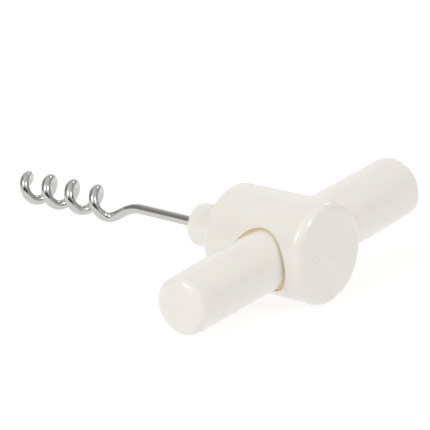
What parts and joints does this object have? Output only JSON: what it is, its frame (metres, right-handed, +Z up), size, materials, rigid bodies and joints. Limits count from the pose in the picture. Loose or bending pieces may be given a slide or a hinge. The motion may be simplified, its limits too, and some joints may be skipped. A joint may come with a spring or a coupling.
{
  "type": "lever corkscrew",
  "caption": "T-handled lever corkscrew: drum-shaped hub with a wire worm, and a two-arm crossbar that slides through the hub to make one long lever.",
  "frame": {"origin": "centre of the hub's flat face", "axes": "+X along the hub axis, out of the flat face, so the worm points to -X; +Z up as the corkscrew lies at rest on the hub's side and the end of its thin arm; the thin arm points to -Y and down, the thick arm to +Y and up"},
  "size_m": [0.1013, 0.0861, 0.0265],
  "materials": {
    "ivory_plastic": "moulded, semi-gloss, warm white",
    "ivory_core_plastic": "moulded, semi-gloss, warm white",
    "tan_plastic": "plain bearing plastic",
    "rubber": "soft black",
    "polished_steel": "polished wire",
    "spring_steel": "plain bright",
    "brass": "turned"
  },
  "bodies": {
    "hub": {"hub_shell": "ivory_plastic", "hub_core": "ivory_core_plastic", "snap_ring": "spring_steel", "near_guide_bush": "tan_plastic", "far_guide_bush": "tan_plastic", "near_friction_ring": "rubber", "far_friction_ring": "rubber", "stop_pin": "spring_steel", "worm": "polished_steel", "worm_collar": "spring_steel"},
    "crossbar": {"thin_arm": "ivory_plastic", "thick_arm": "ivory_plastic", "tie_rod": "spring_steel", "thin_arm_insert": "brass", "thick_arm_insert": "brass", "shoulder_washer": "rubber"}
  },
  "joints": [
    {"name": "crossbar_slide", "type": "slide", "parent": "hub", "child": "crossbar", "axis": [0, 0.9902, 0.1394], "range_m": [0, 0.022]}
  ]
}
